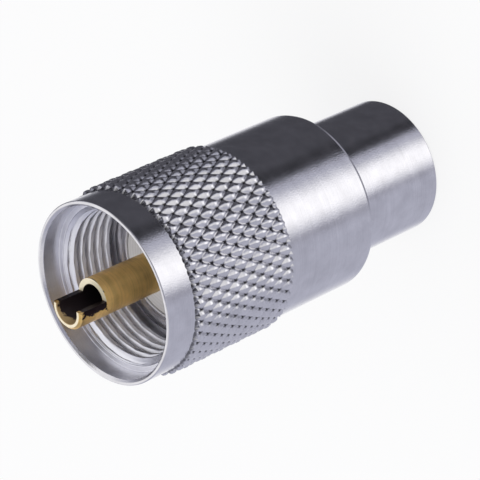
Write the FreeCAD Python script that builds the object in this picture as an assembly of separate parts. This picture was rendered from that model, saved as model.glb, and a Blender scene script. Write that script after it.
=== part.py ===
import FreeCAD, Part
import math
import os

# A UHF coaxial plug for thick cable, in millimetres. It stands on the cable end of its body:
# the origin is the centre of that end, and +Z runs along the axis to the tip of the contact.

# Cable sleeve and body
SLEEVE_WALL = 1.7
SLEEVE_SHOWN = 11.9          # what stands out behind the nut when the nut is back
SLEEVE_END_BEVEL = 0.3
CABLE_ENTRY_CHAMFER = 0.5
CABLE_STOP_STEP = 0.45       # the bore narrows by this in front, to stop the cable's jacket
CABLE_STOP_GAP = 0.7         # from that step to the contact's tail
UNDERCUT_WALL = 1.3
FLANGE_THICKNESS = 2.8
FLANGE_CHAMFER = 0.15
FLANGE_STEP = 0.3            # how far the flange stands out over the sleeve
FLANGE_THREAD_GAP = 0.1      # between the flange and the crest of the nut's thread
SOLDER_HOLE_RADIUS = 1.6
SOLDER_HOLES = 4

# Insulator
INSULATOR_LENGTH = 6.3
INSULATOR_HEAD_THICKNESS = 1.7
INSULATOR_HEAD_STEP = 0.75   # how far the head stands out over the stem
INSULATOR_RECESS = 0.2       # below the body's front face
DIELECTRIC_RECESS_WALL = 1.28
DIELECTRIC_RECESS_DEPTH = 1.5
SEAT_CLEARANCE = 0.02

# Centre contact
PIN_RADIUS = 2.0
PIN_WALL = 0.57
PIN_REACH = 12.6             # beyond the body's front face
PIN_TAIL = 0.8               # behind the insulator
PIN_TIP_CHAMFER = 0.25
PIN_CUT_LENGTH = 3.3         # the tip is open on one side over this length
PIN_CUT_BELOW_AXIS = 0.28
PIN_SEAT_STEP = 0.35         # the contact is this much thicker inside the insulator
BARB_HEIGHT = 0.25
BARB_LENGTH = 1.2

# Coupling nut, with its lengths from the rim to the rear
RIM_BAND_LENGTH = 3.3
RIM_WALL = 0.55
KNURL_SLOPE_LENGTH = 0.4
KNURL_LENGTH = 12.4
KNURL_HEIGHT = 0.5           # over the collar
KNURL_DEPTH = 0.33
KNURL_TEETH = 46             # diamonds round each row
KNURL_HELIX = 30             # degrees between the knurl's grooves and the axis
COLLAR_LENGTH = 11.7
COLLAR_WALL = 1.2            # around the ring's groove
COLLAR_END_BEVEL = 0.35
RIM_OUTER_BEVEL = 0.08
RIM_INNER_BEVEL = 0.25
ENTRY_STEP = 0.65            # over the thread's relief
ENTRY_DEPTH = 2.2
ENTRY_FLOOR_WIDTH = 0.6
THREAD_MINOR_RADIUS = 7.45   # 5/8-24 UNEF, with a pitch of 1.058
THREAD_LENGTH = 4.85
THREAD_RELIEF_STEP = 0.6     # over the thread's crest
THREAD_RELIEF_LENGTH = 1.3
NUT_BORE_CLEARANCE = 0.1     # round the flange
NUT_REAR_CHAMFER = 0.3
FACE_DEPTH = 8.2             # from the rim to the body's front face when the nut is back
NUT_TRAVEL = 3.0

# Split retaining ring
RING_THICKNESS = 1.0
RING_PLAY = 0.1
RING_BODY_CLEARANCE = 0.25
RING_CATCH = 0.4             # how far it stands out over the nut's bore
RING_GROOVE_CLEARANCE = 0.15
RING_GAP = 3.0

# Radii that follow
FLANGE_RADIUS = THREAD_MINOR_RADIUS - FLANGE_THREAD_GAP
SLEEVE_RADIUS = FLANGE_RADIUS - FLANGE_STEP
CABLE_BORE_RADIUS = SLEEVE_RADIUS - SLEEVE_WALL
STEM_BORE_RADIUS = CABLE_BORE_RADIUS - CABLE_STOP_STEP
UNDERCUT_RADIUS = STEM_BORE_RADIUS + UNDERCUT_WALL
SEAT_RADIUS = STEM_BORE_RADIUS + INSULATOR_HEAD_STEP
STEM_RADIUS = STEM_BORE_RADIUS - SEAT_CLEARANCE
DIELECTRIC_RECESS_RADIUS = STEM_RADIUS - DIELECTRIC_RECESS_WALL
PIN_SEAT_RADIUS = PIN_RADIUS + PIN_SEAT_STEP
NUT_BORE_RADIUS = FLANGE_RADIUS + NUT_BORE_CLEARANCE
RING_INNER_RADIUS = UNDERCUT_RADIUS + RING_BODY_CLEARANCE
RING_OUTER_RADIUS = NUT_BORE_RADIUS + RING_CATCH
RING_GROOVE_RADIUS = RING_OUTER_RADIUS + RING_GROOVE_CLEARANCE
COLLAR_RADIUS = RING_GROOVE_RADIUS + COLLAR_WALL
KNURL_RADIUS = COLLAR_RADIUS + KNURL_HEIGHT
THREAD_RELIEF_RADIUS = THREAD_MINOR_RADIUS + THREAD_RELIEF_STEP
ENTRY_RADIUS = THREAD_RELIEF_RADIUS + ENTRY_STEP
RIM_BAND_RADIUS = ENTRY_RADIUS + RIM_WALL

# Heights that follow
NUT_LENGTH = RIM_BAND_LENGTH + KNURL_SLOPE_LENGTH + KNURL_LENGTH + COLLAR_LENGTH
NUT_REAR_Z = SLEEVE_SHOWN
RIM_Z = NUT_REAR_Z + NUT_LENGTH
FACE_Z = RIM_Z - FACE_DEPTH
FLANGE_REAR_Z = FACE_Z - FLANGE_THICKNESS
UNDERCUT_LENGTH = NUT_TRAVEL + RING_THICKNESS + 2 * RING_PLAY
UNDERCUT_REAR_Z = FLANGE_REAR_Z - UNDERCUT_LENGTH
RING_Z = UNDERCUT_REAR_Z + RING_PLAY
INSULATOR_FRONT_Z = FACE_Z - INSULATOR_RECESS
INSULATOR_REAR_Z = INSULATOR_FRONT_Z - INSULATOR_LENGTH
SEAT_Z = INSULATOR_FRONT_Z - INSULATOR_HEAD_THICKNESS
PIN_TIP_Z = FACE_Z + PIN_REACH
PIN_REAR_Z = INSULATOR_REAR_Z - PIN_TAIL
PIN_SEAT_REAR_Z = INSULATOR_REAR_Z + DIELECTRIC_RECESS_DEPTH
CABLE_STOP_Z = PIN_REAR_Z - CABLE_STOP_GAP
KNURL_FRONT_Z = RIM_Z - RIM_BAND_LENGTH
KNURL_SLOPE_Z = KNURL_FRONT_Z - KNURL_SLOPE_LENGTH
KNURL_REAR_Z = KNURL_SLOPE_Z - KNURL_LENGTH

# Modelling allowances
SEW_TOLERANCE = 1e-6
KNURL_BAND_LAP = 0.3         # how far the knurled band runs into the nut, and its trim runs out

ORIGIN = FreeCAD.Vector(0, 0, 0)
AXIS = FreeCAD.Vector(0, 0, 1)


def turned(profile):
    """A solid of revolution about Z, from the (radius, height) corners of its half section."""
    corners = [FreeCAD.Vector(radius, 0, height) for radius, height in profile]
    outline = Part.makePolygon(corners + corners[:1])
    return Part.Face(outline).revolve(ORIGIN, AXIS, 360)


def plug_body():
    """The sleeve, the undercut that the ring slides on, and the front flange, turned as one piece."""
    body = turned([
        (CABLE_BORE_RADIUS + CABLE_ENTRY_CHAMFER, 0),
        (SLEEVE_RADIUS - SLEEVE_END_BEVEL, 0),
        (SLEEVE_RADIUS, SLEEVE_END_BEVEL),
        (SLEEVE_RADIUS, UNDERCUT_REAR_Z),
        (UNDERCUT_RADIUS, UNDERCUT_REAR_Z),
        (UNDERCUT_RADIUS, FLANGE_REAR_Z),
        (FLANGE_RADIUS, FLANGE_REAR_Z),
        (FLANGE_RADIUS, FACE_Z - FLANGE_CHAMFER),
        (FLANGE_RADIUS - FLANGE_CHAMFER, FACE_Z),
        (SEAT_RADIUS, FACE_Z),
        (SEAT_RADIUS, SEAT_Z),
        (STEM_BORE_RADIUS, SEAT_Z),
        (STEM_BORE_RADIUS, CABLE_STOP_Z),
        (CABLE_BORE_RADIUS, CABLE_STOP_Z),
        (CABLE_BORE_RADIUS, CABLE_ENTRY_CHAMFER),
    ])
    # The solder holes stay under the nut at both ends of its travel.
    hole_z = (NUT_REAR_Z + NUT_TRAVEL + UNDERCUT_REAR_Z) / 2
    for index in range(SOLDER_HOLES):
        angle = 2 * math.pi * (index + 0.5) / SOLDER_HOLES
        outward = FreeCAD.Vector(math.cos(angle), math.sin(angle), 0)
        start = FreeCAD.Vector(0, 0, hole_z)
        body = body.cut(Part.makeCylinder(SOLDER_HOLE_RADIUS, 2 * SLEEVE_RADIUS, start, outward))
    return body


def barb(clearance):
    """The corners of the contact's barb, or with a clearance those of the groove that holds it."""
    middle = (PIN_SEAT_REAR_Z + SEAT_Z) / 2
    radius = PIN_SEAT_RADIUS + clearance
    return [
        (radius, middle - BARB_LENGTH / 2 - clearance),
        (radius + BARB_HEIGHT, middle + BARB_LENGTH / 2 + clearance),
        (radius, middle + BARB_LENGTH / 2 + clearance),
    ]


def insulator():
    """The stepped bush that holds the contact in the body."""
    hole_radius = PIN_SEAT_RADIUS + SEAT_CLEARANCE
    head_radius = SEAT_RADIUS - SEAT_CLEARANCE
    return turned([
        (DIELECTRIC_RECESS_RADIUS, INSULATOR_REAR_Z),
        (STEM_RADIUS, INSULATOR_REAR_Z),
        (STEM_RADIUS, SEAT_Z),
        (head_radius, SEAT_Z),
        (head_radius, INSULATOR_FRONT_Z),
        (hole_radius, INSULATOR_FRONT_Z),
        *reversed(barb(SEAT_CLEARANCE)),
        (hole_radius, PIN_SEAT_REAR_Z),
        (DIELECTRIC_RECESS_RADIUS, PIN_SEAT_REAR_Z),
    ])


def centre_contact():
    """The hollow pin, open on one side at its tip so that the conductor can be soldered."""
    bore_radius = PIN_RADIUS - PIN_WALL
    pin = turned([
        (bore_radius, PIN_REAR_Z),
        (PIN_RADIUS, PIN_REAR_Z),
        (PIN_RADIUS, PIN_SEAT_REAR_Z),
        (PIN_SEAT_RADIUS, PIN_SEAT_REAR_Z),
        *barb(0),
        (PIN_SEAT_RADIUS, INSULATOR_FRONT_Z),
        (PIN_RADIUS, INSULATOR_FRONT_Z),
        (PIN_RADIUS, PIN_TIP_Z - PIN_TIP_CHAMFER),
        (PIN_RADIUS - PIN_TIP_CHAMFER, PIN_TIP_Z),
        (bore_radius, PIN_TIP_Z),
    ])
    width = 4 * PIN_RADIUS
    corner = FreeCAD.Vector(-width / 2, -PIN_CUT_BELOW_AXIS - width, PIN_TIP_Z - PIN_CUT_LENGTH)
    return pin.cut(Part.makeBox(width, width, 2 * PIN_CUT_LENGTH, corner))


def retaining_ring():
    """The split spring ring that ties the nut to the body and slides along the undercut."""
    height = FreeCAD.Vector(0, 0, RING_Z)
    ring = Part.makeCylinder(RING_OUTER_RADIUS, RING_THICKNESS, height, AXIS)
    ring = ring.cut(Part.makeCylinder(RING_INNER_RADIUS, RING_THICKNESS, height, AXIS))
    corner = FreeCAD.Vector(0, -RING_GAP / 2, RING_Z)
    return ring.cut(Part.makeBox(2 * RING_OUTER_RADIUS, RING_GAP, RING_THICKNESS, corner))


def turned_point(radius, height, turn):
    """The point at a radius from the axis, turned about it by an angle in radians."""
    return FreeCAD.Vector(radius * math.cos(turn), radius * math.sin(turn), height)


def facet(*corners):
    """A flat face with the given corners."""
    return Part.Face(Part.makePolygon([*corners, corners[0]]))


def knurl_blank():
    """A bar with a raised diamond knurl all round it, longer than the nut's knurled band.

    Two sets of grooves cross at the knurl's angle and leave rows of diamonds, each row turned
    half a diamond from the one behind. A diamond has four flat flanks, which rise from the
    bottom of the grooves to its crest.
    """
    root = KNURL_RADIUS - KNURL_DEPTH
    half_turn = math.pi / KNURL_TEETH
    half_pitch = half_turn * KNURL_RADIUS / math.tan(math.radians(KNURL_HELIX))
    rows = math.ceil((KNURL_FRONT_Z - KNURL_REAR_Z) / half_pitch) + 1
    first_z = KNURL_REAR_Z - half_pitch / 2
    faces = []
    for row in range(rows):
        z = first_z + row * half_pitch
        for tooth in range(KNURL_TEETH):
            turn = (2 * tooth + row % 2) * half_turn
            crest = turned_point(KNURL_RADIUS, z, turn)
            front = turned_point(root, z + half_pitch, turn)
            left = turned_point(root, z, turn - half_turn)
            rear = turned_point(root, z - half_pitch, turn)
            right = turned_point(root, z, turn + half_turn)
            faces.append(facet(front, left, crest))
            faces.append(facet(left, rear, crest))
            faces.append(facet(rear, right, crest))
            faces.append(facet(right, front, crest))

    # Each end is closed by a flat cap, and by triangles between the diamonds and the cap.
    last_row = rows - 1
    for row, step in ((0, -half_pitch), (last_row, half_pitch)):
        z = first_z + row * half_pitch
        rim = []
        for tooth in range(KNURL_TEETH):
            turn = (2 * tooth + row % 2) * half_turn
            here = turned_point(root, z + step, turn)
            following = turned_point(root, z + step, turn + 2 * half_turn)
            between = turned_point(root, z, turn + half_turn)
            faces.append(facet(here, following, between))
            rim.append(here)
        faces.append(facet(*rim))

    shell = Part.makeShell(faces)
    shell.sewShape()
    bar = Part.Solid(shell)
    bar.fix(SEW_TOLERANCE, SEW_TOLERANCE, SEW_TOLERANCE)
    if bar.Volume < 0:
        bar.reverse()
    return bar


def knurled_band():
    """The knurl, trimmed square behind and sloped in front, down to below the collar."""
    inside = min(COLLAR_RADIUS, RIM_BAND_RADIUS) - KNURL_BAND_LAP
    outside = KNURL_RADIUS + KNURL_BAND_LAP
    slope = KNURL_SLOPE_LENGTH / (KNURL_RADIUS - RIM_BAND_RADIUS)
    envelope = turned([
        (inside, KNURL_REAR_Z),
        (outside, KNURL_REAR_Z),
        (outside, KNURL_SLOPE_Z - KNURL_BAND_LAP * slope),
        (RIM_BAND_RADIUS, KNURL_FRONT_Z),
        (inside, KNURL_FRONT_Z),
    ])
    return knurl_blank().common(envelope)


def coupling_nut():
    """The nut: a smooth rim band, the knurled grip and a smooth collar, over a stepped bore."""
    floor_z = RIM_Z - ENTRY_DEPTH
    floor_radius = ENTRY_RADIUS - ENTRY_FLOOR_WIDTH
    thread_front_z = floor_z - (floor_radius - THREAD_MINOR_RADIUS)
    thread_rear_z = thread_front_z - THREAD_LENGTH
    relief_rear_z = thread_rear_z - THREAD_RELIEF_LENGTH
    groove_rear_z = RING_Z - RING_PLAY
    groove_front_z = RING_Z + RING_THICKNESS + RING_PLAY
    core = turned([
        (NUT_BORE_RADIUS + NUT_REAR_CHAMFER, NUT_REAR_Z),
        (COLLAR_RADIUS - COLLAR_END_BEVEL, NUT_REAR_Z),
        (COLLAR_RADIUS, NUT_REAR_Z + COLLAR_END_BEVEL),
        (COLLAR_RADIUS, KNURL_FRONT_Z),
        (RIM_BAND_RADIUS, KNURL_FRONT_Z),
        (RIM_BAND_RADIUS, RIM_Z - RIM_OUTER_BEVEL),
        (RIM_BAND_RADIUS - RIM_OUTER_BEVEL, RIM_Z),
        (ENTRY_RADIUS + RIM_INNER_BEVEL, RIM_Z),
        (ENTRY_RADIUS, RIM_Z - RIM_INNER_BEVEL),
        (ENTRY_RADIUS, floor_z),
        (floor_radius, floor_z),
        (THREAD_MINOR_RADIUS, thread_front_z),
        (THREAD_MINOR_RADIUS, thread_rear_z),
        (THREAD_RELIEF_RADIUS, thread_rear_z),
        (THREAD_RELIEF_RADIUS, relief_rear_z),
        (NUT_BORE_RADIUS, relief_rear_z),
        (NUT_BORE_RADIUS, groove_front_z),
        (RING_GROOVE_RADIUS, groove_front_z),
        (RING_GROOVE_RADIUS, groove_rear_z),
        (NUT_BORE_RADIUS, groove_rear_z),
        (NUT_BORE_RADIUS, NUT_REAR_Z + NUT_REAR_CHAMFER),
    ])
    return core.fuse(knurled_band())


pieces = {
    "plug_body": plug_body(),
    "insulator": insulator(),
    "centre_contact": centre_contact(),
    "retaining_ring": retaining_ring(),
    "coupling_nut": coupling_nut(),
}

os.makedirs("parts", exist_ok=True)
for name, shape in pieces.items():
    shape.exportStep(f"parts/{name}.step")
    print(name, len(shape.Solids), "solid", round(shape.Volume, 2), "mm3", shape.isValid())
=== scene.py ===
import math

import bmesh
import bpy
import numpy as np
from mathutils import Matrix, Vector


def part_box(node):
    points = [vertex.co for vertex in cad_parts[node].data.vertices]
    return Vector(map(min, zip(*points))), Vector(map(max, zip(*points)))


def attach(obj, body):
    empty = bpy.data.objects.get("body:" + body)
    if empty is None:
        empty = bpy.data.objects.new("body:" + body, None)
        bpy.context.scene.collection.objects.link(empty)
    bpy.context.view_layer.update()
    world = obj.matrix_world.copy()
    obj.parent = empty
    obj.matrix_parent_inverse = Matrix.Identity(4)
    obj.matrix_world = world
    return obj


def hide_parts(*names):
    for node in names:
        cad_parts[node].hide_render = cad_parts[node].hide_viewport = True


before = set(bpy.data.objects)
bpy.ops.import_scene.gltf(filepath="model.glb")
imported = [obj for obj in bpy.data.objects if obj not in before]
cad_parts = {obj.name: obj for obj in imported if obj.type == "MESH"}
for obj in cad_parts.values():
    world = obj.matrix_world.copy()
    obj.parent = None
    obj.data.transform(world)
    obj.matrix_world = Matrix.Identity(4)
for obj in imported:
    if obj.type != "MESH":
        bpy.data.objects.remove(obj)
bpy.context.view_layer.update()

# The plug body is one turned piece of brass, plated with nickel. Its long sleeve takes the cable,
# the ring slides on the undercut in the middle, and the flange in front meets the socket.
# The plug's lengths are in mm here, and MM turns them into the scene's metres.
MM = 0.001
CABLE_BORE_RADIUS = 5.35
CABLE_BORE_BEVEL = 0.5
STEM_BORE_RADIUS = 4.9
SLEEVE_RADIUS = 7.05
SLEEVE_BEVEL = 0.3
UNDERCUT_RADIUS = 6.2
FLANGE_RADIUS = 7.35
FLANGE_BEVEL = 0.15
SEAT_RADIUS = 5.65
CABLE_STOP_Z = 23.5
UNDERCUT_REAR_Z = 24.5
FLANGE_REAR_Z = 28.7
SEAT_Z = 29.6
FACE_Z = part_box("plug_body")[1][2] / MM
SOLDER_HOLE_RADIUS = 1.6
SOLDER_HOLE_Z = 19.7
SOLDER_HOLES = 4
DRILL_SIDES = 32
TURNED_EDGE = 0.08
ARC_POINTS = 5
LONGEST_ARC_SHARE = 0.3
FLAT_POINT_SHARE = 0.08
SHARP_ANGLE = math.radians(32)
COLUMNS = 224
ANGLES = np.linspace(0, 2 * math.pi, COLUMNS, endpoint=False)
NICKEL = (0.72, 0.71, 0.72)
NICKEL_ROUGHNESS = 0.17
MOTTLE_SIZE = 1.6
GRAIN_SIZE = 0.15
GRAIN_DEPTH = 0.009
RINGS_SHARE = 0.5
NOISE_RANGE = (0.45, 1.05)
GLOSS_SPREAD = 0.2


def softened(corners):
    """A half section whose corners are small arcs, as a row of (radius, height) points.

    At each corner P the arc touches both sides at the length edge / tan(half the corner's angle)
    from P, or at a fixed share of the shorter side if that is less. A few points lie on the arc,
    and one more on each side just beyond it, so that the flat sides stay flat when shaded.
    """
    points = np.array(corners, float)
    back = np.roll(points, 1, axis=0) - points
    ahead = np.roll(points, -1, axis=0) - points
    back_length = np.linalg.norm(back, axis=1, keepdims=True)
    ahead_length = np.linalg.norm(ahead, axis=1, keepdims=True)
    back, ahead = back / back_length, ahead / ahead_length
    shorter = np.minimum(back_length, ahead_length)
    half = np.arccos(np.clip((back * ahead).sum(1, keepdims=True), -1, 1)) / 2
    reach = np.minimum(TURNED_EDGE / np.tan(half), LONGEST_ARC_SHARE * shorter)
    radius = reach * np.tan(half)
    inward = back + ahead
    centre = points + inward / np.linalg.norm(inward, axis=1, keepdims=True) * radius / np.sin(half)
    first = (points + back * reach - centre) / radius
    last = (points + ahead * reach - centre) / radius
    sweep = math.pi - 2 * half
    share = np.linspace(0, 1, ARC_POINTS)[:, None, None]
    arc = (np.sin((1 - share) * sweep) * first + np.sin(share * sweep) * last) / np.sin(sweep)
    beyond = reach + FLAT_POINT_SHARE * shorter
    rows = [points + back * beyond, *(centre + arc * radius), points + ahead * beyond]
    return np.stack(rows, axis=1).reshape(-1, 2)


def around(radius, angle, height):
    """Points (r cos a, r sin a, z) for radii r, angles a and heights z that fit one grid."""
    radius, angle, height = np.broadcast_arrays(radius, angle, height)
    return np.stack([radius * np.cos(angle), radius * np.sin(angle), height], axis=-1)


def turned_grid(section):
    """The points (radius, height) of a half section, each carried round the axis."""
    return around(section[:, 0:1], ANGLES, section[:, 1:2])


def grid_faces(rows, columns, steps_round):
    """Faces (i, j), (i, j+1), (i+1, j+1), (i+1, j) of a grid whose last row meets its first.

    The rows follow the half section with the metal on their left, and the columns go round the
    axis, so each face looks outwards. With as many steps round as columns, the last column
    meets the first too.
    """
    i, j = np.meshgrid(np.arange(rows), np.arange(steps_round), indexing="ij")
    here, along, beside = i * columns, (i + 1) % rows * columns, (j + 1) % columns
    faces = np.stack([here + j, here + beside, along + beside, along + j], axis=-1)
    return faces.reshape(-1, 4).tolist()


def smooth_mesh(name, grid, faces):
    """A mesh from a grid of points in mm, shaded smooth between its sharp edges."""
    mesh = bpy.data.meshes.new(name)
    mesh.from_pydata((grid.reshape(-1, 3) * MM).tolist(), [], faces)
    mesh.shade_smooth()
    mesh.set_sharp_from_angle(angle=SHARP_ANGLE)
    return mesh


def closed_mesh(name, grid):
    """A mesh from a grid that closes on itself both ways."""
    rows, columns = grid.shape[:2]
    return smooth_mesh(name, grid, grid_faces(rows, columns, columns))


def add_piece(name, mesh, material, body, node):
    """Puts a mesh in the scene as a finished piece that stands for a node and rides on its body."""
    piece = bpy.data.objects.new(name, mesh)
    bpy.context.scene.collection.objects.link(piece)
    mesh.materials.append(material)
    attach(piece, body)
    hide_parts(node)
    return piece


def cut_away(piece, cutter):
    """Takes the cutter's shape out of the piece, and removes the cutter."""
    modifier = piece.modifiers.new("cut", "BOOLEAN")
    modifier.operation = "DIFFERENCE"
    modifier.solver = "EXACT"
    modifier.object = cutter
    bpy.context.view_layer.update()
    cut = piece.evaluated_get(bpy.context.evaluated_depsgraph_get())
    result = bpy.data.meshes.new_from_object(cut)
    piece.modifiers.clear()
    piece.data = result
    bpy.data.objects.remove(cutter)
    result.set_sharp_from_angle(angle=SHARP_ANGLE)


def new_material(name):
    """A new material with its node tree and its main shader."""
    material = bpy.data.materials.new(name)
    material.use_nodes = True
    return material, material.node_tree, material.node_tree.nodes["Principled BSDF"]


def new_node(tree, kind, inputs=None, **settings):
    """A new shader node with its settings. Its inputs are links from outputs, or plain values."""
    made = tree.nodes.new("ShaderNode" + kind)
    for name, value in settings.items():
        setattr(made, name, value)
    for socket, value in (inputs or {}).items():
        if isinstance(value, bpy.types.NodeSocket):
            tree.links.new(value, made.inputs[socket])
        else:
            made.inputs[socket].default_value = value
    return made


def noise(tree, vector, size, detail):
    """Noise of a vector, with features of about a size in mm."""
    inputs = {"Vector": vector, "Scale": 1 / (size * MM), "Detail": detail}
    return new_node(tree, "TexNoise", inputs).outputs["Fac"]


def ranged(tree, value, old, new, interpolation="LINEAR"):
    """The value carried from the old range, as (from, to), into the new one, and kept in it."""
    inputs = {"Value": value, "From Min": old[0], "From Max": old[1],
              "To Min": new[0], "To Max": new[1]}
    return new_node(tree, "MapRange", inputs, interpolation_type=interpolation).outputs["Result"]


def mixed(tree, factor, under, over, blend="MIX"):
    """One colour laid over another by a factor, or blended with it in another way."""
    inputs = {"Factor": factor, 6: under, 7: over}
    return new_node(tree, "Mix", inputs, data_type="RGBA", blend_type=blend).outputs[2]


def bumped(tree, height, depth, strength=1.0, under=None):
    """The normal of a surface raised by a height times a depth in mm, over another normal."""
    inputs = {"Height": height, "Distance": depth * MM, "Strength": strength}
    if under:
        inputs["Normal"] = under
    return new_node(tree, "Bump", inputs).outputs[0]


def turned_finish(name, color, roughness, line_size, line_depth, mottle):
    """A turned metal surface: fine rings round the axis, a satin grain, and a slow mottle.

    The rings are noise of (radius, height), which is the same all the way round. The grain is
    noise of the place. The mottle, noise of the place on a larger scale, changes colour and gloss.
    """
    material, tree, shader = new_material(name)
    place = new_node(tree, "TexCoord").outputs["Object"]
    axes = new_node(tree, "SeparateXYZ", {0: place}).outputs
    flat = new_node(tree, "CombineXYZ", {"X": axes["X"], "Y": axes["Y"]})
    radius = new_node(tree, "VectorMath", {0: flat.outputs[0]}, operation="LENGTH")
    section = new_node(tree, "CombineXYZ", {"X": radius.outputs["Value"], "Z": axes["Z"]})
    rings = noise(tree, section.outputs[0], line_size, 3.0)
    cloud = noise(tree, place, MOTTLE_SIZE, 4.0)
    both = new_node(tree, "Math", {0: rings, 1: RINGS_SHARE, 2: cloud},
                    operation="MULTIPLY_ADD").outputs[0]
    tint = ranged(tree, both, NOISE_RANGE, (1 - mottle, 1 + mottle / 3))
    gloss = ranged(tree, both, NOISE_RANGE,
                   (roughness * (1 - GLOSS_SPREAD), roughness * (1 + GLOSS_SPREAD)))
    shade = mixed(tree, 1.0, (*color, 1), tint, "MULTIPLY")
    ridges = bumped(tree, rings, line_depth)
    grained = bumped(tree, noise(tree, place, GRAIN_SIZE, 1.0), GRAIN_DEPTH, under=ridges)
    shader.inputs["Metallic"].default_value = 1.0
    tree.links.new(shade, shader.inputs["Base Color"])
    tree.links.new(gloss, shader.inputs["Roughness"])
    tree.links.new(grained, shader.inputs["Normal"])
    return material


body_nickel = turned_finish("nickel_body", NICKEL, NICKEL_ROUGHNESS,
                            line_size=0.12, line_depth=0.003, mottle=0.16)
body_section = softened([
    (CABLE_BORE_RADIUS + CABLE_BORE_BEVEL, 0), (SLEEVE_RADIUS - SLEEVE_BEVEL, 0),
    (SLEEVE_RADIUS, SLEEVE_BEVEL), (SLEEVE_RADIUS, UNDERCUT_REAR_Z),
    (UNDERCUT_RADIUS, UNDERCUT_REAR_Z), (UNDERCUT_RADIUS, FLANGE_REAR_Z),
    (FLANGE_RADIUS, FLANGE_REAR_Z), (FLANGE_RADIUS, FACE_Z - FLANGE_BEVEL),
    (FLANGE_RADIUS - FLANGE_BEVEL, FACE_Z), (SEAT_RADIUS, FACE_Z), (SEAT_RADIUS, SEAT_Z),
    (STEM_BORE_RADIUS, SEAT_Z), (STEM_BORE_RADIUS, CABLE_STOP_Z),
    (CABLE_BORE_RADIUS, CABLE_STOP_Z), (CABLE_BORE_RADIUS, CABLE_BORE_BEVEL),
])
body = add_piece("turned_body", closed_mesh("turned_body", turned_grid(body_section)),
                 body_nickel, "plug", "plug_body")
for hole in range(SOLDER_HOLES):
    bpy.ops.mesh.primitive_cylinder_add(
        vertices=DRILL_SIDES, radius=SOLDER_HOLE_RADIUS * MM, depth=2 * SLEEVE_RADIUS * MM)
    drill = bpy.context.object
    # Half a step's turn keeps the drill's corners off the columns of the body's mesh.
    drill.data.transform(Matrix.Rotation(math.pi / DRILL_SIDES, 4, "Z"))
    angle = 2 * math.pi * (hole + 0.5) / SOLDER_HOLES
    drill.location = (SLEEVE_RADIUS * MM * math.cos(angle), SLEEVE_RADIUS * MM * math.sin(angle),
                      SOLDER_HOLE_Z * MM)
    drill.rotation_euler = (0, math.pi / 2, angle)
    cut_away(body, drill)

# The insulator is a bush turned from white PTFE. Its head sits in the front of the body, and
# the contact is pressed through its middle.
INSULATOR_REAR_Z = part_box("insulator")[0][2] / MM
INSULATOR_FRONT_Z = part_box("insulator")[1][2] / MM
INSULATOR_PLAY = 0.02
CONTACT_HOLE_RADIUS = 2.37
RECESS_RADIUS = 3.6
RECESS_DEPTH = 1.5
RECESS_Z = INSULATOR_REAR_Z + RECESS_DEPTH
PTFE_RING_SIZE = 1.2
PTFE_RING_DEPTH = 0.01


def two_tone(tree, factor, low, high):
    """A colour between two others, by a factor."""
    ramp = new_node(tree, "ValToRGB", {0: factor})
    ramp.color_ramp.elements[0].color = (*low, 1)
    ramp.color_ramp.elements[1].color = (*high, 1)
    return ramp.outputs[0]


def ptfe_finish():
    """White plastic that lets a little light in, with faint rings from the turning tool."""
    material, tree, shader = new_material("white_ptfe")
    shader.inputs["Roughness"].default_value = 0.42
    shader.inputs["Subsurface Weight"].default_value = 0.15
    shader.inputs["Subsurface Radius"].default_value = (0.4 * MM, 0.4 * MM, 0.4 * MM)
    place = new_node(tree, "TexCoord").outputs["Object"]
    wave = {"Vector": place, "Scale": 1 / (PTFE_RING_SIZE * MM), "Distortion": 0.6}
    rings = new_node(tree, "TexWave", wave, wave_type="RINGS", rings_direction="Z").outputs["Fac"]
    # The plastic's white is painted light grey, as painted shade for its place inside the nut; the
    # two tones follow the turning rings.
    color = two_tone(tree, rings, (0.67, 0.66, 0.66), (0.74, 0.73, 0.73))
    tree.links.new(color, shader.inputs["Base Color"])
    tree.links.new(bumped(tree, rings, PTFE_RING_DEPTH, strength=0.3), shader.inputs["Normal"])
    return material


insulator_section = softened([
    (RECESS_RADIUS, INSULATOR_REAR_Z), (STEM_BORE_RADIUS - INSULATOR_PLAY, INSULATOR_REAR_Z),
    (STEM_BORE_RADIUS - INSULATOR_PLAY, SEAT_Z), (SEAT_RADIUS - INSULATOR_PLAY, SEAT_Z),
    (SEAT_RADIUS - INSULATOR_PLAY, INSULATOR_FRONT_Z), (CONTACT_HOLE_RADIUS, INSULATOR_FRONT_Z),
    (CONTACT_HOLE_RADIUS, RECESS_Z), (RECESS_RADIUS, RECESS_Z),
])
add_piece("ptfe_bush", closed_mesh("ptfe_bush", turned_grid(insulator_section)),
          ptfe_finish(), "plug", "insulator")

# The contact is a hollow brass pin with gold plate. Its tip is open on one side, where the
# cable's conductor is soldered in. Along the opening lies a dark ragged patch: the crust that
# soldering left, widened as painted shade where the near edge of the real cut goes deeper.
# Deeper in the bore the wall is darker.
PIN_RADIUS = 2.0
PIN_BORE_RADIUS = 1.43
PIN_SEAT_RADIUS = 2.35
PIN_REAR_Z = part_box("centre_contact")[0][2] / MM
PIN_TIP_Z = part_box("centre_contact")[1][2] / MM
PIN_TIP_BEVEL = 0.25
PIN_CUT_LENGTH = 3.3
PIN_CUT_BELOW_AXIS = 0.28
PIN_BORE_MARGIN = 0.05
SAW_SIZE = 8
BARE_GRAIN_SIZE = 0.3
BARE_DARKEST = 0.8
DARK_PATCH_COLOR = (0.024, 0.016, 0.019)
DARK_PATCH_GRAIN_SIZE = 0.45
DARK_PATCH_RAGGED = 1.2
OUTSIDE_CRUST_AND_SHADE = [
    # direction, how far the dark patch goes along it, soft edge
    ((0, 1, 0), 0.45, 0.08),
    ((0, 0, 1), PIN_TIP_Z - 0.3, 0.1),
    ((0, 0, -1), PIN_CUT_LENGTH - PIN_TIP_Z, 0.02),
]
BORE_DARK_PATCH = [
    ((-0.6, 0, 1), PIN_TIP_Z - 1.2, 0.12),
]


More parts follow.
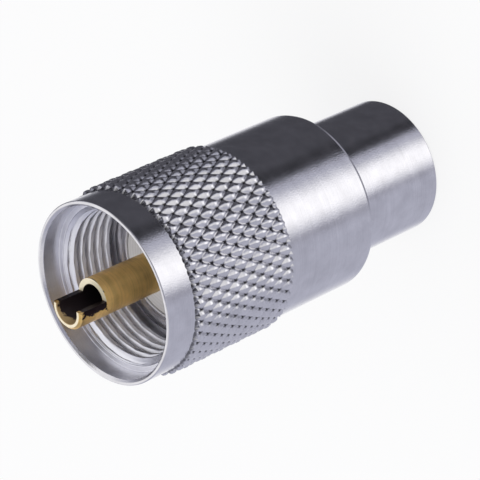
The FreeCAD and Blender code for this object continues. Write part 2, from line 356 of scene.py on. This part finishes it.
def bare_finish(name, color, roughness, metallic):
    """A plain surface with a fine uneven grain, for what the saw and the drill left."""
    material, tree, shader = new_material(name)
    shader.inputs["Metallic"].default_value = metallic
    shader.inputs["Roughness"].default_value = roughness
    place = new_node(tree, "TexCoord").outputs["Object"]
    grain = noise(tree, place, BARE_GRAIN_SIZE, 2.0)
    darkest = [part * BARE_DARKEST for part in color]
    tree.links.new(two_tone(tree, grain, darkest, color), shader.inputs["Base Color"])
    return material


def window(tree, value, start, stop):
    """A factor that goes smoothly from 0 where the value is start to 1 where it is stop."""
    return ranged(tree, value, (start, stop), (0, 1), "SMOOTHSTEP")


def times(tree, first, second):
    """The product of two outputs."""
    return new_node(tree, "Math", {0: first, 1: second}, operation="MULTIPLY").outputs[0]


def lay_dark_patch(material, limits):
    """Lays a dark ragged patch at the open tip over a material's colour.

    Each limit is a direction, a place along it and a soft edge, in mm. The patch lies where the
    position along every direction, made ragged by noise, is under the limit's place.
    """
    tree = material.node_tree
    color = tree.nodes["Principled BSDF"].inputs["Base Color"]
    place = new_node(tree, "TexCoord").outputs["Object"]
    ragged = noise(tree, place, DARK_PATCH_GRAIN_SIZE, 3.0)
    cover = None
    for direction, limit, edge in limits:
        along = new_node(tree, "VectorMath", {0: place, 1: direction}, operation="DOT_PRODUCT")
        inputs = {0: ragged, 1: DARK_PATCH_RAGGED * MM, 2: along.outputs["Value"]}
        shifted = new_node(tree, "Math", inputs, operation="MULTIPLY_ADD").outputs[0]
        middle = limit + DARK_PATCH_RAGGED / 2
        inside = window(tree, shifted, (middle + edge) * MM, (middle - edge) * MM)
        cover = times(tree, cover, inside) if cover else inside
    tree.links.new(mixed(tree, cover, color.links[0].from_socket, (*DARK_PATCH_COLOR, 1)), color)


gold = turned_finish("gold_pin", (1.0, 0.68, 0.25), 0.34,
                     line_size=0.16, line_depth=0.002, mottle=0.36)
# The cut faces' pale cream is partly the brass's own colour and partly a painted highlight, kept
# bright under any light by the half matt finish.
cut_brass_and_highlight = bare_finish("cut_brass_and_highlight", (1.0, 0.90, 0.66), 0.35, 0.4)
# The bore's wall is a darker brown than the plating outside.
dark_bore_finish = bare_finish("dark_bore_finish", (0.62, 0.45, 0.22), 0.45, 0.5)
# Outside, the patch is the solder crust along the opening, widened as painted shade for the near
# edge's deeper cut.
lay_dark_patch(gold, OUTSIDE_CRUST_AND_SHADE)
# In the bore the patch darkens the wall from about 1.2 mm behind the tip inwards.
lay_dark_patch(dark_bore_finish, BORE_DARK_PATCH)
pin_section = softened([
    (PIN_BORE_RADIUS, PIN_REAR_Z), (PIN_RADIUS, PIN_REAR_Z), (PIN_RADIUS, RECESS_Z),
    (PIN_SEAT_RADIUS, RECESS_Z), (PIN_SEAT_RADIUS, INSULATOR_FRONT_Z),
    (PIN_RADIUS, INSULATOR_FRONT_Z), (PIN_RADIUS, PIN_TIP_Z - PIN_TIP_BEVEL),
    (PIN_RADIUS - PIN_TIP_BEVEL, PIN_TIP_Z), (PIN_BORE_RADIUS, PIN_TIP_Z),
])
pin = add_piece("gold_contact", closed_mesh("gold_contact", turned_grid(pin_section)),
                gold, "plug", "centre_contact")
bpy.ops.mesh.primitive_cube_add(size=1)
saw = bpy.context.object
saw.scale = (SAW_SIZE * MM, SAW_SIZE * MM, 2 * PIN_CUT_LENGTH * MM)
saw.location = (0, (-PIN_CUT_BELOW_AXIS - SAW_SIZE / 2) * MM, PIN_TIP_Z * MM)
cut_away(pin, saw)
pin.data.materials.append(cut_brass_and_highlight)
pin.data.materials.append(dark_bore_finish)
# Faces that look forward at the tip are freshly cut brass, pale partly as a painted highlight,
# and those of the bore get the darker bore finish.
for face in pin.data.polygons:
    if face.normal.z > 0.9 and face.center.z > (INSULATOR_FRONT_Z + 1) * MM:
        face.material_index = 1
    elif math.hypot(*face.center.xy) < (PIN_BORE_RADIUS + PIN_BORE_MARGIN) * MM:
        face.material_index = 2

# The retaining ring is a split ring of spring bronze. It snaps into the groove inside the nut
# and slides along the undercut of the body, so that the nut turns freely but can't come off.
RING_INNER_RADIUS = 6.45
RING_OUTER_RADIUS = 7.85
RING_REAR_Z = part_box("retaining_ring")[0][2] / MM
RING_FRONT_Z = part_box("retaining_ring")[1][2] / MM
RING_GAP = 3.0
RING_COLUMNS = 160


def split_ring(section):
    """The section carried round the axis from one side of the gap to the other, with flat ends.

    Both sides of the gap lie at y = plus or minus half the gap, so at each radius r the arc
    starts at the angle asin(half the gap / r).
    """
    start = np.arcsin(RING_GAP / 2 / section[:, 0:1])
    angle = start + (2 * math.pi - 2 * start) * np.linspace(0, 1, RING_COLUMNS)
    grid = around(section[:, 0:1], angle, section[:, 1:2])
    first = np.arange(len(section)) * RING_COLUMNS
    ends = [first.tolist(), (first[::-1] + RING_COLUMNS - 1).tolist()]
    faces = grid_faces(len(section), RING_COLUMNS, RING_COLUMNS - 1) + ends
    return smooth_mesh("spring_ring", grid, faces)


bronze = turned_finish("spring_bronze_ring", (0.62, 0.50, 0.34), 0.32,
                       line_size=0.2, line_depth=0.003, mottle=0.2)
ring_section = softened([
    (RING_INNER_RADIUS, RING_REAR_Z), (RING_OUTER_RADIUS, RING_REAR_Z),
    (RING_OUTER_RADIUS, RING_FRONT_Z), (RING_INNER_RADIUS, RING_FRONT_Z),
])
add_piece("spring_ring", split_ring(ring_section),
          bronze, "ring", "retaining_ring")

# The coupling nut is turned from brass, knurled and plated with nickel. Inside are the thread
# for the socket, a relief behind it and the groove for the ring.
NUT_REAR_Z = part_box("coupling_nut")[0][2] / MM
RIM_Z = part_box("coupling_nut")[1][2] / MM
COLLAR_RADIUS = 9.2
COLLAR_LENGTH = 11.7
HEEL_ROUND = 0.5
KNURL_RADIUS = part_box("coupling_nut")[1][0] / MM
KNURL_LENGTH = 12.4
KNURL_SLOPE_LENGTH = 0.4
KNURL_REAR_Z = NUT_REAR_Z + COLLAR_LENGTH
KNURL_SLOPE_Z = KNURL_REAR_Z + KNURL_LENGTH
KNURL_FRONT_Z = KNURL_SLOPE_Z + KNURL_SLOPE_LENGTH
KNURL_SEAT_DEPTH = 0.1
KNURL_SEAT_EDGE = 0.2
RIM_BAND_RADIUS = 9.25
RIM_OUTER_BEVEL = 0.08
RIM_INNER_BEVEL = 0.25
ENTRY_RADIUS = 8.7
ENTRY_FLOOR_RADIUS = 8.1
ENTRY_DEPTH = 2.2
ENTRY_FLOOR_Z = RIM_Z - ENTRY_DEPTH
THREADS_PER_INCH = 24
THREAD_PITCH = 25.4 / THREADS_PER_INCH
THREAD_FLANK = math.radians(30)
THREAD_MINOR_RADIUS = 7.45
THREAD_MAJOR_RADIUS = 7.94
THREAD_LENGTH = 4.85
THREAD_FRONT_Z = ENTRY_FLOOR_Z - (ENTRY_FLOOR_RADIUS - THREAD_MINOR_RADIUS)
THREAD_REAR_Z = THREAD_FRONT_Z - THREAD_LENGTH
THREAD_ROWS_PER_TURN = 20
RELIEF_RADIUS = 8.05
RELIEF_LENGTH = 1.3
RELIEF_REAR_Z = THREAD_REAR_Z - RELIEF_LENGTH
GROOVE_RADIUS = 8.0
RING_PLAY = 0.1
NUT_BORE_RADIUS = 7.45
NUT_BORE_BEVEL = 0.3
NUT_BORE_MARGIN = 0.01


def nut_grid():
    """The nut as a turned grid, with its thread cut into the bore.

    Along the threaded rows the radius is the larger of the bore's own radius, which widens to
    the front at 45 degrees, and the thread's. The thread's radius is the major one, less
    1 / tan(the flank's angle) times the distance along the axis from the groove's flat bottom,
    and no less than the minor one. The bottom is an eighth of the pitch wide, and climbs by one
    pitch each turn. The collar's rear edge is a quarter circle.
    """
    quarter = np.radians([-90, -60, -30, 0])
    heel = list(zip(COLLAR_RADIUS - HEEL_ROUND * (1 - np.cos(quarter)),
                    NUT_REAR_Z + HEEL_ROUND * (1 + np.sin(quarter))))
    # The last corner of the outside and the first two of the inside only lead into the thread,
    # and the inside's last is the outside's first, so their points are cut off.
    per_corner = ARC_POINTS + 2
    outside = softened([
        (NUT_BORE_RADIUS + NUT_BORE_BEVEL, NUT_REAR_Z), *heel,
        (COLLAR_RADIUS, KNURL_REAR_Z - KNURL_SEAT_EDGE),
        (COLLAR_RADIUS - KNURL_SEAT_DEPTH, KNURL_REAR_Z - KNURL_SEAT_DEPTH),
        (COLLAR_RADIUS - KNURL_SEAT_DEPTH, KNURL_FRONT_Z - KNURL_SEAT_EDGE),
        (RIM_BAND_RADIUS, KNURL_FRONT_Z - KNURL_SEAT_EDGE),
        (RIM_BAND_RADIUS, RIM_Z - RIM_OUTER_BEVEL), (RIM_BAND_RADIUS - RIM_OUTER_BEVEL, RIM_Z),
        (ENTRY_RADIUS + RIM_INNER_BEVEL, RIM_Z), (ENTRY_RADIUS, RIM_Z - RIM_INNER_BEVEL),
        (ENTRY_RADIUS, ENTRY_FLOOR_Z), (ENTRY_FLOOR_RADIUS, ENTRY_FLOOR_Z),
        (NUT_BORE_RADIUS, ENTRY_FLOOR_Z - 3),
    ])[:-per_corner]
    inside = softened([
        (NUT_BORE_RADIUS - 1, ENTRY_FLOOR_Z), (THREAD_MINOR_RADIUS, THREAD_REAR_Z),
        (RELIEF_RADIUS, THREAD_REAR_Z), (RELIEF_RADIUS, RELIEF_REAR_Z),
        (NUT_BORE_RADIUS, RELIEF_REAR_Z), (NUT_BORE_RADIUS, RING_FRONT_Z + RING_PLAY),
        (GROOVE_RADIUS, RING_FRONT_Z + RING_PLAY), (GROOVE_RADIUS, RING_REAR_Z - RING_PLAY),
        (NUT_BORE_RADIUS, RING_REAR_Z - RING_PLAY), (NUT_BORE_RADIUS, NUT_REAR_Z + NUT_BORE_BEVEL),
        (NUT_BORE_RADIUS + NUT_BORE_BEVEL, NUT_REAR_Z),
    ])[2 * per_corner:-per_corner]
    step = THREAD_PITCH / THREAD_ROWS_PER_TURN
    heights = np.arange(ENTRY_FLOOR_Z - step, THREAD_REAR_Z + step / 2, -step)[:, None]
    bore = np.maximum(THREAD_MINOR_RADIUS, ENTRY_FLOOR_RADIUS - (ENTRY_FLOOR_Z - heights))
    climb = heights / THREAD_PITCH - ANGLES / (2 * math.pi)
    along = np.abs(climb - np.round(climb)) * THREAD_PITCH
    half_bottom = THREAD_PITCH / 16
    groove = THREAD_MAJOR_RADIUS - (along - half_bottom) / math.tan(THREAD_FLANK)
    groove = np.clip(groove, THREAD_MINOR_RADIUS, THREAD_MAJOR_RADIUS)
    threaded = around(np.maximum(bore, groove), ANGLES, heights)
    return np.concatenate([turned_grid(outside), threaded, turned_grid(inside)])


nut_nickel = turned_finish("nickel_nut", NICKEL, NICKEL_ROUGHNESS,
                           line_size=0.12, line_depth=0.003, mottle=0.16)
# Painted light: the bore's nickel is the outside's plating made paler and lavender, so the shaded
# inside of the nut shows bright.
bore_nickel_painted_light = turned_finish("nickel_nut_bore_painted_light", (0.84, 0.84, 0.88), 0.34,
                             line_size=0.2, line_depth=0.003, mottle=0.18)
nut = add_piece("turned_nut", closed_mesh("turned_nut", nut_grid()),
                nut_nickel, "nut", "coupling_nut")
nut.data.materials.append(bore_nickel_painted_light)
for face in nut.data.polygons:
    if math.hypot(*face.center.xy) < (ENTRY_RADIUS + NUT_BORE_MARGIN) * MM:
        face.material_index = 1

# The knurl is rolled into the nut's outside: two sets of grooves at 30 degrees to the axis leave
# rows of diamonds with rounded tops. It is trimmed square behind and sloped in front.
KNURL_TEETH = 46
KNURL_DEPTH = 0.33
KNURL_HELIX = math.radians(30)
KNURL_FLAT = 0.3
KNURL_BLEND = 0.12
KNURL_UNEVEN = 0.12
KNURL_SUNK = 0.3
KNURL_SHARP_ANGLE = math.radians(40)
LIGHT_GROOVE_START = 0.35
LIGHT_GROOVE_DEPTH = 0.9
DIAMOND_STEPS = np.array([-0.5, -0.42, -0.26, -0.1, 0.1, 0.26, 0.42, 0.5])
SLOPE_FADE_LENGTH = 0.5
SLOPE_LEAST_RELIEF = 0.15
SLOPE_SHADE_LENGTH = 0.2
SLOPE_SHADE = 0.4
SHADE_AND_DIRT_PITS = (0.06, 0.5)
DARKEST_SHADE_AND_DIRT = 0.05


def diamonds():
    """Diamonds on a lattice, each a small grid between two pairs of grooves.

    With s and t from -1/2 to 1/2 across a diamond, a point lies at the angle (p + s + t) half
    turns and the height (q + s - t) half pitches, where p + q is even. It stands over the bottom
    of the grooves by the depth times the smaller of the rises across s and across t, blended
    where they meet. Across t the rise is 1 over the flat top and falls straight to 0 at the
    groove. Across s the grooves are a little narrower and less deep, because one roller bites
    less. Some diamonds are less high than others. Where two grooves cross, the attribute pit
    goes up to 1.
    """
    half_turn = math.pi / KNURL_TEETH
    half_pitch = half_turn * KNURL_RADIUS / math.tan(KNURL_HELIX)
    rows = math.ceil((KNURL_FRONT_Z - KNURL_REAR_Z) / half_pitch) + 2
    off = np.abs(2 * DIAMOND_STEPS)
    fall = np.clip((off - KNURL_FLAT) / (1 - KNURL_FLAT), 0, 1)[None, :]
    notch = np.clip((off - LIGHT_GROOVE_START) / (1 - LIGHT_GROOVE_START), 0, 1)[:, None]
    q = np.arange(-1, rows - 1)[:, None, None, None]
    p = 2 * np.arange(KNURL_TEETH)[None, :, None, None] + q % 2
    s, t = DIAMOND_STEPS[:, None], DIAMOND_STEPS[None, :]
    angle = (p + s + t) * half_turn
    height = KNURL_REAR_Z + (q - 0.5 + s - t) * half_pitch
    first, second = 1 - LIGHT_GROOVE_DEPTH * notch, 1 - fall
    gap = np.maximum(KNURL_BLEND - np.abs(first - second), 0)
    lower = (np.minimum(first, second) - gap * gap / (4 * KNURL_BLEND)) / (1 - KNURL_BLEND / 4)
    uneven = np.random.default_rng(4).uniform(0, KNURL_UNEVEN, p.shape)
    radius = KNURL_RADIUS - KNURL_DEPTH * (1 - lower + uneven * ((1 - notch) * second))
    points = around(radius, angle, height)
    size = len(DIAMOND_STEPS)
    cells = np.arange(rows * KNURL_TEETH)[:, None, None] * size * size
    i, j = np.meshgrid(np.arange(size - 1), np.arange(size - 1), indexing="ij")
    here = cells + i * size + j
    faces = np.stack([here, here + 1, here + size + 1, here + size], axis=-1).reshape(-1, 4)
    mesh = bpy.data.meshes.new("knurl")
    mesh.from_pydata((points.reshape(-1, 3) * MM).tolist(), [], faces.tolist())
    # pit marks the groove crossings, where painted shade and some dirt darken the hollows.
    pit = np.broadcast_to(notch ** 2 * fall ** 2, angle.shape)
    mesh.attributes.new("pit", "FLOAT", "POINT").data.foreach_set("value", pit.ravel())
    return mesh


def put_in_order(elements, key):
    """Sorts a bmesh's points or faces, which Blender makes in an order that changes each run."""
    for index, element in enumerate(sorted(elements, key=key)):
        element.index = index
    elements.sort()
    elements.index_update()


def closed_band(mesh):
    """Joins the diamonds, cuts them level at both ends of the knurl and closes them inside.

    It gives the indices of the points of the inner wall, which still lie on the cut edges.
    """
    work = bmesh.new()
    work.from_mesh(mesh)
    bmesh.ops.remove_doubles(work, verts=work.verts, dist=1e-7)
    for z, clear_above, clear_below in ((KNURL_REAR_Z, False, True), (KNURL_SLOPE_Z, False, False),
                                        (KNURL_FRONT_Z, True, False)):
        bmesh.ops.bisect_plane(work, geom=[*work.verts, *work.edges, *work.faces], dist=1e-8,
                               plane_co=(0, 0, z * MM), plane_no=(0, 0, 1),
                               clear_outer=clear_above, clear_inner=clear_below)
    border = [edge for edge in work.edges if edge.is_boundary]
    skirt = bmesh.ops.extrude_edge_only(work, edges=border)["geom"]
    for vertex in work.verts:
        vertex.tag = False
    for element in skirt:
        element.tag = isinstance(element, bmesh.types.BMVert)
    bmesh.ops.bridge_loops(work, edges=[edge for edge in work.edges if edge.is_boundary])
    put_in_order(work.verts, lambda vertex: (*vertex.co, vertex.tag))
    put_in_order(work.faces, lambda face: sorted(vertex.index for vertex in face.verts))
    inner = [vertex.index for vertex in work.verts if vertex.tag]
    work.to_mesh(mesh)
    work.free()
    return inner


def knurl_mesh():
    """The knurl as a closed band whose inner wall lies inside the nut.

    Over the slope in front, the diamonds keep less and less of their depth under a cone that
    ends at the rim band's radius, and the attribute pit is raised there for painted shade along
    that edge.
    """
    mesh = diamonds()
    inner = closed_band(mesh)
    place = np.empty(len(mesh.vertices) * 3)
    mesh.vertices.foreach_get("co", place)
    place = place.reshape(-1, 3) / MM
    reach = np.hypot(place[:, 0], place[:, 1])
    slope = (KNURL_RADIUS - RIM_BAND_RADIUS) / (KNURL_FRONT_Z - KNURL_SLOPE_Z)
    limit = KNURL_RADIUS - np.maximum(place[:, 2] - KNURL_SLOPE_Z, 0) * slope
    fade = np.clip((KNURL_SLOPE_Z + SLOPE_FADE_LENGTH - place[:, 2]) / SLOPE_FADE_LENGTH,
                   SLOPE_LEAST_RELIEF, 1)
    target = limit - (KNURL_RADIUS - reach) * fade
    target[inner] = COLLAR_RADIUS - KNURL_SUNK
    place[:, :2] *= (target / reach)[:, None]
    mesh.vertices.foreach_set("co", (place * MM).ravel())
    pit = np.empty(len(place))
    mesh.attributes["pit"].data.foreach_get("value", pit)
    # Painted shade along the front slope: pit rises there, darkening the edge before the rim band.
    front = np.clip((place[:, 2] - KNURL_SLOPE_Z) / SLOPE_SHADE_LENGTH, 0, 1)
    mesh.attributes["pit"].data.foreach_set("value", np.maximum(pit, SLOPE_SHADE * front))
    mesh.update()
    mesh.shade_smooth()
    mesh.set_sharp_from_angle(angle=KNURL_SHARP_ANGLE)
    return mesh


def knurl_finish():
    """The nut's metal, darkened by painted shade and some dirt where the attribute pit is high."""
    material = turned_finish("nickel_knurl", (0.74, 0.73, 0.74), 0.16,
                             line_size=0.3, line_depth=0.003, mottle=0.16)
    tree = material.node_tree
    color = tree.nodes["Principled BSDF"].inputs["Base Color"]
    pit = new_node(tree, "Attribute", attribute_name="pit").outputs["Fac"]
    # Painted shade with some dirt: the colour darkens as pit rises.
    shade_and_dirt = ranged(tree, pit, SHADE_AND_DIRT_PITS, (1.0, DARKEST_SHADE_AND_DIRT))
    tree.links.new(mixed(tree, 1.0, color.links[0].from_socket, shade_and_dirt, "MULTIPLY"), color)
    return material


add_piece("nut_knurl", knurl_mesh(), knurl_finish(), "nut", "coupling_nut")

# The studio is a pale floor under the plug, a soft lamp above it, and surroundings that are
# bright on one side and dark on the other, as a photographer's cards make them for metal.
CAMERA_AZIMUTH = math.radians(-56.86)
CAMERA_ELEVATION = math.radians(38.31)
CAMERA_ROLL = math.radians(-114.45)
CAMERA_PLACE = (-162.23, -105.03, 174.58)
CAMERA_LENS = 187.45
WALL = (0.54, 0.55, 0.66)
CARDS = [
    # turn from the camera's side, half width, soft edge, lowest, highest (degrees), brightness
    (180, 25, 20, -60, 10, 1.0),
    (-98, 56, 10, -62, -22, 0.08),
    (6, 20, 14, -62, -22, 1.45),
    (-46, 10, 5, -62, -22, 0.04),
    (38, 3, 6, -62, -22, 0.35),
    (-150, 45, 15, -90, -60, 0.08),
    (-105, 54, 12, -30, 8, 0.1),
    (-5, 22, 12, -22, 20, 0.95),
    (0, 220, 20, -90, -74, 0.1),
    (-125, 70, 15, 20, 90, 1.1),
    (100, 45, 15, 35, 90, 0.95),
    (-22, 62, 12, 22, 50, 0.05),
]
CARD_HEIGHT_EDGE = 12
WHITE_CARD_FROM = 0.5
WHITE_TINT = (1.0, 1.0, 1.03)
GREY_TINT = (1.0, 1.0, 1.2)
SOFT_LIGHT = (0.75, 0.75, 0.78)


def surroundings():
    """The world: white to the camera, even and pale for soft light, and cards round the metal.

    A reflection sees a pale wall with soft-edged cards in front of it. A card covers the
    directions whose turn about Z is near its own and whose height lies between its limits.
    """
    world = bpy.data.worlds.new("studio")
    bpy.context.scene.world = world
    world.use_nodes = True
    world.cycles.sampling_method = "NONE"
    tree = world.node_tree
    place = new_node(tree, "TexCoord").outputs["Generated"]
    height = new_node(tree, "SeparateXYZ", {0: place}).outputs["Z"]
    flat = new_node(tree, "VectorMath", {0: place, 1: (1, 1, 0)}, operation="MULTIPLY")
    heading = new_node(tree, "VectorMath", {0: flat.outputs[0]}, operation="NORMALIZE")
    seen = (*WALL, 1)
    for turn, half, edge, lowest, highest, brightness in CARDS:
        direction = CAMERA_AZIMUTH - math.radians(turn)
        toward = (math.sin(direction), -math.cos(direction), 0)
        along = new_node(tree, "VectorMath", {0: heading.outputs[0], 1: toward},
                         operation="DOT_PRODUCT").outputs["Value"]
        off = new_node(tree, "Math", {0: along}, operation="ARCCOSINE").outputs[0]
        cover = window(tree, off, math.radians(half + edge), math.radians(half - edge))
        for limit, sign in ((lowest, 1), (highest, -1)):
            if abs(limit) < 90:
                outer = math.sin(math.radians(limit - sign * CARD_HEIGHT_EDGE))
                inner = math.sin(math.radians(limit + sign * CARD_HEIGHT_EDGE))
                cover = times(tree, cover, window(tree, height, outer, inner))
        tint = WHITE_TINT if brightness > WHITE_CARD_FROM else GREY_TINT
        seen = mixed(tree, cover, seen, (*(part * brightness for part in tint), 1))
    rays = new_node(tree, "LightPath").outputs
    soft = mixed(tree, rays["Is Glossy Ray"], (*SOFT_LIGHT, 1), seen)
    white = mixed(tree, rays["Is Camera Ray"], soft, (1, 1, 1, 1))
    tree.links.new(white, tree.nodes["Background"].inputs["Color"])


def floor_finish():
    """A pale matt floor that shows white, with the object's shadow faint on it."""
    material, tree, shader = new_material("pale_floor")
    shader.inputs["Base Color"].default_value = (0.9, 0.9, 0.9, 1)
    shader.inputs["Roughness"].default_value = 0.9
    shader.inputs["Specular IOR Level"].default_value = 0.0
    glow = new_node(tree, "Emission").outputs[0]
    share = times(tree, new_node(tree, "LightPath").outputs["Is Camera Ray"], 0.8)
    blend = new_node(tree, "MixShader", {0: share, 1: shader.outputs[0], 2: glow})
    tree.links.new(blend.outputs[0], tree.nodes["Material Output"].inputs["Surface"])
    return material


surroundings()
bpy.ops.mesh.primitive_plane_add(size=4)
floor = bpy.context.object
floor.name = "floor"
floor.data.materials.append(floor_finish())
floor.visible_glossy = False

lamp_data = bpy.data.lights.new("softbox", "AREA")
lamp_data.shape = "DISK"
lamp_data.size = 0.5
lamp_data.energy = 1.2
lamp = bpy.data.objects.new("softbox", lamp_data)
bpy.context.scene.collection.objects.link(lamp)
lamp.location = (-0.15, 0.2, 0.6)
lamp.rotation_euler = (math.radians(-18), math.radians(-14), 0)
lamp.visible_glossy = False

camera_data = bpy.data.cameras.new("camera")
camera_data.lens = CAMERA_LENS
camera_data.sensor_width = 36
camera_data.clip_start = 0.01
camera = bpy.data.objects.new("camera", camera_data)
bpy.context.scene.collection.objects.link(camera)
camera.location = tuple(value * MM for value in CAMERA_PLACE)
back = Vector((
    math.sin(CAMERA_AZIMUTH) * math.cos(CAMERA_ELEVATION),
    -math.cos(CAMERA_AZIMUTH) * math.cos(CAMERA_ELEVATION),
    math.sin(CAMERA_ELEVATION),
))
level = (-back).to_track_quat("-Z", "Y").to_matrix()
camera.rotation_euler = (level @ Matrix.Rotation(CAMERA_ROLL, 3, "Z")).to_euler()
bpy.context.scene.camera = camera
bpy.context.scene.view_settings.view_transform = "Standard"
